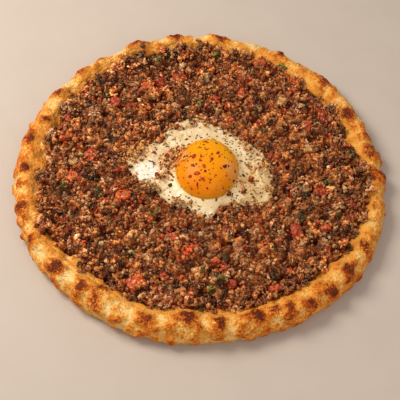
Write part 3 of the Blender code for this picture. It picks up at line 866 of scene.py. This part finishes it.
def placingTree():  # puts a shape at each point, turned, sized and tinted as the point says
    tree = bpy.data.node_groups.new("place shapes", "GeometryNodeTree")
    tree.interface.new_socket("Geometry", in_out="INPUT", socket_type="NodeSocketGeometry")
    tree.interface.new_socket("Shapes", in_out="INPUT", socket_type="NodeSocketCollection")
    tree.interface.new_socket("Geometry", in_out="OUTPUT", socket_type="NodeSocketGeometry")
    made = {kind: tree.nodes.new(kind) for kind in (
        "NodeGroupInput", "NodeGroupOutput", "GeometryNodeCollectionInfo",
        "GeometryNodeInstanceOnPoints", "GeometryNodeRealizeInstances", "FunctionNodeEulerToRotation")}
    shapes = made["GeometryNodeCollectionInfo"].inputs
    shapes["Separate Children"].default_value = True
    shapes["Reset Children"].default_value = True
    onPoints = made["GeometryNodeInstanceOnPoints"].inputs
    onPoints["Pick Instance"].default_value = True
    read = {}
    for name, kind in (("shape", "INT"), ("turn", "FLOAT_VECTOR"), ("size", "FLOAT_VECTOR")):
        read[name] = tree.nodes.new("GeometryNodeInputNamedAttribute")
        read[name].data_type = kind
        read[name].inputs["Name"].default_value = name
    link = tree.links.new
    link(made["NodeGroupInput"].outputs["Geometry"], onPoints["Points"])
    link(made["NodeGroupInput"].outputs["Shapes"], shapes["Collection"])
    link(made["GeometryNodeCollectionInfo"].outputs[0], onPoints["Instance"])
    link(read["shape"].outputs["Attribute"], onPoints["Instance Index"])
    link(read["turn"].outputs["Attribute"], made["FunctionNodeEulerToRotation"].inputs[0])
    link(made["FunctionNodeEulerToRotation"].outputs[0], onPoints["Rotation"])
    link(read["size"].outputs["Attribute"], onPoints["Scale"])
    link(made["GeometryNodeInstanceOnPoints"].outputs[0], made["GeometryNodeRealizeInstances"].inputs[0])
    link(made["GeometryNodeRealizeInstances"].outputs[0], made["NodeGroupOutput"].inputs[0])
    return tree


placing = placingTree()


def scatter(name, shapes, rows, material, slot, *nodes):
    # each row holds a place in mm, a turn, a size in mm, a shape's number and a colour
    mesh = bpy.data.meshes.new(name)
    mesh.from_pydata([[value * mm for value in row[0]] for row in rows], [], [])
    piece = bpy.data.objects.new(name, mesh)
    bpy.context.collection.objects.link(piece)
    for label, kind, field, values in (
            ("turn", "FLOAT_VECTOR", "vector", [row[1] for row in rows]),
            ("size", "FLOAT_VECTOR", "vector", [[value * mm for value in row[2]] for row in rows]),
            ("shape", "INT", "value", [row[3] for row in rows]),
            ("tint", "FLOAT_COLOR", "color", [row[4] for row in rows])):
        kept = mesh.attributes.new(label, kind, "POINT")
        kept.data.foreach_set(field, np.asarray(values).ravel())
    group = bpy.data.collections.new(name + " shapes")
    bpy.context.scene.collection.children.link(group)
    for shape in shapes:
        group.objects.link(shape)
    modifier = piece.modifiers.new("place", "NODES")
    modifier.node_group = placing
    modifier["Socket_1"] = group
    only(piece)
    bpy.ops.object.modifier_apply(modifier="place")
    bpy.data.collections.remove(group)
    for label in ("turn", "size", "shape"):
        if label in piece.data.attributes:
            piece.data.attributes.remove(piece.data.attributes[label])
    done(piece, material, slot, *nodes)
    print(name, len(rows), "copies,", len(piece.data.polygons), "faces")
    return piece


def shade(tint, spread=0.16):  # a colour a little lighter or darker
    part = 1 + chance.uniform(-spread, spread)
    return (tint[0] * part, tint[1] * part, tint[2] * part, 1.0)


def tumble():
    return [chance.uniform(0, 2 * math.pi) for _ in range(3)]


def tintAt(x, y, high):  # painted light and shade: crumbs higher than those around them are more often tan, lower ones dark
    names = list(mince["tints"])
    weights = [mince["tints"][name][1] for name in names]
    high = min(max(high, -1.5), 0.8)
    weights[names.index("tan")] *= math.exp(0.9 * high)
    weights[names.index("dark")] *= math.exp(-1.4 * high)
    weights[names.index("deep")] *= math.exp(-0.8 * high)
    for px, py, reach, name, amount in mince["patches"]:
        part = amount * math.exp(-((x - px) ** 2 + (y - py) ** 2) / reach ** 2)
        if chance.random() < part:
            return mince["tints"][name][0]
    return mince["tints"][chance.choices(names, weights)[0]][0]


def welcome(x, y, what):  # how readily crumbs lie here
    if what in ("mince", "crust"):
        return 1
    if what == "yolk" or what is None:
        return 0
    share = 0.04 if what == "dice" else 0.0
    for reach, part in ((2.0, 0.45), (4.5, 0.1)):
        around = [heap.what(x + reach * math.cos(a), y + reach * math.sin(a)) for a in range(6)]
        if any(other not in (what, "yolk") for other in around):
            return max(share, part)
    return share


def heapCrumbs():
    rows = []
    least, usual, largest = mince["crumbSize"]
    width, high = mince["mounds"]
    for _ in range(mince["crumbs"]):
        radius = chance.triangular(least, largest, usual)
        best = None
        for _ in range(3):  # a crumb rolls to the lowest of a few places
            angle, out = chance.uniform(0, 2 * math.pi), 117 * math.sqrt(chance.random())
            x, y = out * math.cos(angle), out * math.sin(angle)
            ragged = noise.noise((x / 9, y / 9, 5)) * 5
            if out > edgeAt(x, y) - 2.0 + ragged + chance.triangular(-1, 5, -1):
                continue
            what = heap.what(x, y)
            if chance.random() > welcome(x, y, what) or what in ("white", "dice") and radius > 1.8:
                continue
            level = heap.level(x, y, radius)
            if what in ("white", "dice"):
                level -= 4
            mound = (noise.noise((x / width, y / width, 0)) + 0.2) * high
            mound *= 1 - math.exp(-(math.hypot((x - 7) / 1.25, y - 2) / 40) ** 6)  # less by the egg
            if level > mince["highest"] + mound + 0.35 * max(0, out - 95):
                continue
            if best is None or level - mound < best[3]:
                best = (x, y, level, level - mound)
        if best is None:
            continue
        x, y, level, _ = best
        if heap.what(x, y) in ("white", "dice"):
            level += 4
        tall = radius * chance.uniform(0.7, 0.95)
        z = level + tall * 0.2
        heap.add(x, y, z, radius, tall)
        rows.append([(x, y, z), tumble(), (radius, radius * chance.uniform(0.7, 1.2), tall),
                     chance.randrange(mince["shapes"]), None])
    soft = heap.softened(5.0)
    for row in rows:
        x, y, z = row[0]
        over = z - soft[int((y + heap.reach) / heap.cell), int((x + heap.reach) / heap.cell)]
        if heap.what(x, y) == "white":
            row[4] = shade(chance.choice(mince["onEgg"]))
        else:
            # lighter and darker at random in broad patches, times painted light and shade: crumbs standing
            # above those around are lighter, those in hollows darker
            light = 1 + 1.0 * noise.noise((x / 10, y / 10, 9)) + 0.8 * noise.noise((x / 5, y / 5, 2))
            light *= 1 + 0.14 * min(max(over, -2), 2)
            warm = 0.5 * noise.noise((x / 14, y / 14, 3))
            red, green, blue, _ = shade(tintAt(x, y, over))
            row[4] = (red * light * (1 + 0.3 * warm), green * light, blue * light * (1 - warm), 1.0)
    return rows


def crumbsOnEgg():  # finer crumbs that the white carries, in clusters
    rows = []
    for px, py, reach, count in mince["onEggPlaces"]:
        for _ in range(count):
            x, y = onRise(px + chance.gauss(0, reach / 2), py + chance.gauss(0, reach / 2.4))
            radius = chance.triangular(0.5, 1.7, 0.8)
            z = heap.level(x, y, radius) + radius * 0.15
            heap.add(x, y, z, radius, radius * 0.6)
            rows.append(((x, y, z), tumble(), (radius, radius * 0.9, radius * 0.7),
                         chance.randrange(mince["shapes"]), shade(chance.choice(mince["onEgg"]))))
    return rows


def onRise(x, y, sheet=12.0):  # slides a place on a level sheet forward as the surface rises
    back = y
    for _ in range(12):
        back = y - (heap.at(x, back) - sheet) / math.tan(math.radians(studio["elevation"]))
    return x, back


def crumbLook(name, painted_shade_colour):
    look = Look(name, {"Coat Roughness": 0.18, "Specular IOR Level": 0.07})
    tint = look.attribute("tint", "Color")
    knobs, fine = look.grain(1.3 * mm, 3.0, 0.6), look.grain(0.5 * mm, 3.0, 0.6)
    # painted shade: over about half of each crumb, in small patches, the tint is darkened by the shade colour
    painted_shade = look.blend(1.0, tint, painted_shade_colour, "MULTIPLY")
    base = look.blend((knobs * 0.6 + fine * 0.4).ramp(0.4, 0.58), painted_shade, tint)
    # painted glints: small pale spots on the crumbs
    base = look.blend(fine.ramp(0.53, 0.66) * 0.55, base, colour(255, 222, 178))
    wet = look.grain(3.0 * mm, 2.0).ramp(0.52, 0.66)
    return look.finish(base, 0.5 - wet * 0.2, knobs + fine * 0.8, 0.6, 0.9,
                       **{"Coat Weight": wet * 0.25})


crumbShapes = [clump("crumb%d" % n, 5 + n % 3, 88, 0.6) for n in range(mince["shapes"])]
# the colour given is the painted shade that darkens part of each crumb
crumbMaterial = crumbLook("browned mince", colour(122, 52, 10))
crumbRows = heapCrumbs()
batch = 2200
for start in range(0, len(crumbRows), batch):
    scatter("mince_crumbs_%d" % (start // batch + 1), crumbShapes, crumbRows[start:start + batch],
            crumbMaterial, "mince", "mince")
# the finer crumbs on the egg get a lighter painted shade
scatter("egg_crumbs", crumbShapes, crumbsOnEgg(), crumbLook("crumbs in the egg", colour(236, 190, 130)),
        "mince")
fillGaps()
print("crumbs heaped,", heap.height[heap.kind == 1].mean(), heap.height[heap.kind == 1].std())


# Bits of tomato and onion between the crumbs.
bits = {
    "tomatoPlaces": ((-53, -34), (42, 103), (50, 95), (13, -76), (46, 43)),
    "tomatoes": 90, "tomatoSize": (0.9, 2.1),
    "onionPlaces": ((-75, 56), (25, 53), (50, -26), (57, 68)),
    "onions": 200, "onionSize": (0.8, 2.0),
}


def strew(count, places, sizes, zones, sink, flat, tints, shapes, top=14.0):
    rows = []
    spots = list(places)
    for _ in range(count):
        if spots:
            x, y = spots.pop()
        else:
            angle, out = chance.uniform(0, 2 * math.pi), 117 * math.sqrt(chance.random())
            x, y = out * math.cos(angle), out * math.sin(angle)
            if out > edgeAt(x, y) - 1 or heap.what(x, y) not in zones:
                continue
        radius = chance.uniform(*sizes)
        level = heap.level(x, y, radius)
        if level > top:
            continue
        tall = radius * flat
        z = level + tall * sink
        heap.add(x, y, z, radius, tall)
        rows.append(((x, y, z), tumble(), (radius, radius * chance.uniform(0.7, 1.1), tall),
                     chance.randrange(shapes), shade(chance.choice(tints))))
    return rows


def bitLook(name, light, dark, coat):
    look = Look(name, {"Coat Weight": coat, "Coat Roughness": 0.15, "Subsurface Weight": 0.2,
                       "Subsurface Scale": 0.0015})
    tint = look.attribute("tint", "Color")
    soft, fine = look.grain(1.6 * mm, 3.0, 0.6), look.grain(0.6 * mm, 2.0)
    base = look.blend(soft.ramp(0.35, 0.65) * 0.5, tint, light)
    base = look.blend(fine.ramp(0.55, 0.7) * 0.4, base, dark)
    return look.finish(base, 0.3 + (fine - 0.5) * 0.3, soft + fine, 0.4, 0.6)


bitShapes = [clump("bit%d" % n, 3, 60, 0.35, (0.5, 0.8)) for n in range(4)]
scatter("tomato_bits", bitShapes,
        strew(bits["tomatoes"], bits["tomatoPlaces"], bits["tomatoSize"], ("mince",), 0.3, 0.8,
              (colour(164, 44, 20), colour(188, 84, 38), colour(130, 34, 16)), 4),
        bitLook("tomato bits", colour(228, 100, 48), colour(140, 26, 14), 0.2), "tomato")
scatter("onion_bits", bitShapes,
        strew(bits["onions"], bits["onionPlaces"], bits["onionSize"], ("mince",), 0.3, 0.7,
              (colour(196, 154, 92), colour(180, 130, 70), colour(210, 178, 122)), 4),
        bitLook("onion bits", colour(220, 188, 132), colour(150, 98, 50), 0.2), "onion")
print("bits strewn")


# Parsley, and flakes of pepper on the egg and the mince.
herbs = {
    "parsleyPlaces": (
        (-33, 95), (10, 102), (57, 94), (45, 37), (39, 49), (-3, 58), (70, 62), (100, 20), (87, -4),
        (66, -8), (92, -29), (70, -31), (72, -45), (19, -63), (10, -88), (16, -81), (-42, -65),
        (-29, -32), (-66, -21), (-90, -16), (-70, 65)),
    "leavesInPlace": (7, 12), "leafSize": (0.8, 1.6), "looseLeaves": 240, "looseSize": (0.4, 1.0),
    "greens": (colour(54, 60, 20), colour(74, 80, 30), colour(38, 44, 16), colour(118, 116, 50)),
}
pepper = {
    # places on a level sheet 12 mm up, and size in mm
    "onYolk": (
        (-4, 11.5, 1.6), (3, 4, 1.4), (-1.5, -2, 1.9), (6, -4.5, 1.7), (17, 4.5, 2.0), (12, 15, 1.6),
        (4, 17.5, 1.3), (-1, 19, 1.3), (3, 24, 1.5), (-12, 18, 1.6), (-5, 4, 1.3), (-14, 4, 1.2),
        (8, 9.5, 1.6), (-6, -5, 1.5), (-1, -11, 1.4), (-5, -13.5, 1.2), (18, -3, 1.2),
        (23, -7, 1.2), (-8, 22, 1.4), (-3, 22, 1.0), (2, -6, 1.3), (4, 0, 1.1), (0, 8, 1.0)),
    "onWhite": (
        (28, 10, 1.4), (33, 6, 1.6), (24, 1, 1.2), (30, -2, 1.6), (35, -5, 2.6), (30, -15, 2.6),
        (20, -17, 2.2), (12, -22, 1.4), (47, -2, 1.2), (42, -22, 1.2), (-33, 6.5, 1.8),
        (-12, 35, 1.6), (10, 34, 1.4), (-18, 26, 1.4), (-10, 26, 1.6), (0, 28, 1.2), (10, 26, 1.4),
        (20, 31, 1.4), (-28, -4, 2.4), (-26, -8, 1.4), (-19, -12, 1.8), (-13, -21, 1.2),
        (-4, -25, 1.2), (1, -35, 1.6), (-17, 36, 2.2), (-7, 40, 2.4), (4, 39, 1.8)),
    "fineOnYolk": 170, "fineOnWhite": 460, "fineSize": (0.3, 0.95), "onMince": 260,
    "reds": (colour(160, 44, 6), colour(126, 28, 4), colour(186, 72, 10), colour(92, 22, 4)),
    "darks": (colour(104, 64, 20), colour(124, 96, 34), colour(144, 98, 40), colour(72, 38, 12)),
}


def flake(name, seed, faces=1, thin=0.3, ragged=0.6):
    bpy.ops.mesh.primitive_ico_sphere_add(subdivisions=faces, radius=1, location=(0, 0, 0))
    piece = bpy.context.object
    piece.name = name
    bpy.ops.object.mode_set(mode="EDIT")
    bpy.ops.mesh.select_all(action="SELECT")
    bpy.ops.transform.vertex_random(offset=ragged, seed=seed)
    bpy.ops.transform.resize(value=(1, 0.8, thin))
    bpy.ops.object.mode_set(mode="OBJECT")
    return piece


def leaf(name, seed):
    bpy.ops.mesh.primitive_grid_add(x_subdivisions=4, y_subdivisions=3, size=2, location=(0, 0, 0))
    piece = bpy.context.object
    piece.name = name
    bpy.ops.object.mode_set(mode="EDIT")
    bpy.ops.mesh.select_all(action="SELECT")
    bpy.ops.transform.resize(value=(1, 0.7, 1))
    bpy.ops.transform.vertex_random(offset=0.4, seed=seed)
    bpy.ops.object.mode_set(mode="OBJECT")
    modify(piece, "SOLIDIFY", thickness=0.12, offset=0)
    return piece


def flakeLook(name, rough, spread):
    look = Look(name, {"Specular IOR Level": 0.25})
    tint, fine = look.attribute("tint", "Color"), look.grain(0.6 * mm, 3.0, 0.6)
    base = look.blend(fine.ramp(0.4, 0.65) * spread, tint, colour(176, 132, 70))
    return look.finish(base, rough + (fine - 0.5) * 0.3, fine, 0.2, 0.5)


def growParsley():
    rows = []
    for x, y in herbs["parsleyPlaces"]:
        for _ in range(chance.randint(*herbs["leavesInPlace"])):
            size = chance.uniform(*herbs["leafSize"])
            place, turn = heap.lie(x + chance.gauss(0, 2.0), y + chance.gauss(0, 1.6), 0.4, 1.5)
            rows.append((place, turn, (size, size, size), chance.randrange(4),
                         shade(chance.choice(herbs["greens"]))))
    for _ in range(herbs["looseLeaves"]):
        angle, out = chance.uniform(0, 2 * math.pi), 112 * math.sqrt(chance.random())
        x, y = out * math.cos(angle), out * math.sin(angle)
        if out < edgeAt(x, y) and heap.what(x, y) in ("mince", "dice"):
            size = chance.uniform(*herbs["looseSize"])
            place, turn = heap.lie(x, y, 0.2)
            rows.append((place, turn, (size, size, size), chance.randrange(4),
                         shade(chance.choice(herbs["greens"]))))
    return rows


def sprinklePepper():
    rows = []
    for kind, tints, flat in (("onYolk", "reds", 0.35), ("onWhite", "darks", 0.4)):
        for x, y, size in pepper[kind]:
            size *= 2.2
            place, turn = heap.lie(*onRise(x, y), 0.1)
            narrow = chance.uniform(0.5, 1.0)
            rows.append((place, turn, (size / 2, size / 2 * narrow, size / 2 * flat), chance.randrange(5),
                         shade(chance.choice(pepper[tints] if size < 4.1 else pepper["reds"]))))
    for zone, count, tints in (("yolk", "fineOnYolk", "reds"), ("white", "fineOnWhite", "darks"),
                               ("mince", "onMince", "reds")):
        for _ in range(40 * pepper[count]):
            reach = 110 if zone == "mince" else 52
            x, y = chance.uniform(-reach, reach), chance.uniform(-reach, reach)
            if heap.what(x, y) != zone or math.hypot(x, y) > edgeAt(x, y):
                continue
            if zone == "white" and x < 15 and chance.random() < 0.6:
                continue
            size = chance.uniform(*pepper["fineSize"]) * (1.6 if zone == "mince" else 1)
            place, turn = heap.lie(x, y, 0.05)
            rows.append((place, turn, (size, size, size * 0.7), chance.randrange(5),
                         shade(chance.choice(pepper[tints]))))
            pepper[count] -= 1
            if pepper[count] <= 0:
                break
    return rows


leaves = [leaf("leaf%d" % n, n) for n in range(4)]
flakes = [flake("flake%d" % n, n) for n in range(5)]
scatter("parsley_leaves", leaves, growParsley(), flakeLook("parsley leaf", 0.5, 0.2), "parsley")
scatter("pepper_flakes", flakes, sprinklePepper(), flakeLook("pepper flakes", 0.45, 0.1), "spice")
print("herbs and pepper sprinkled")

for shape in crumbShapes + bitShapes + leaves + flakes:
    bpy.data.objects.remove(shape)
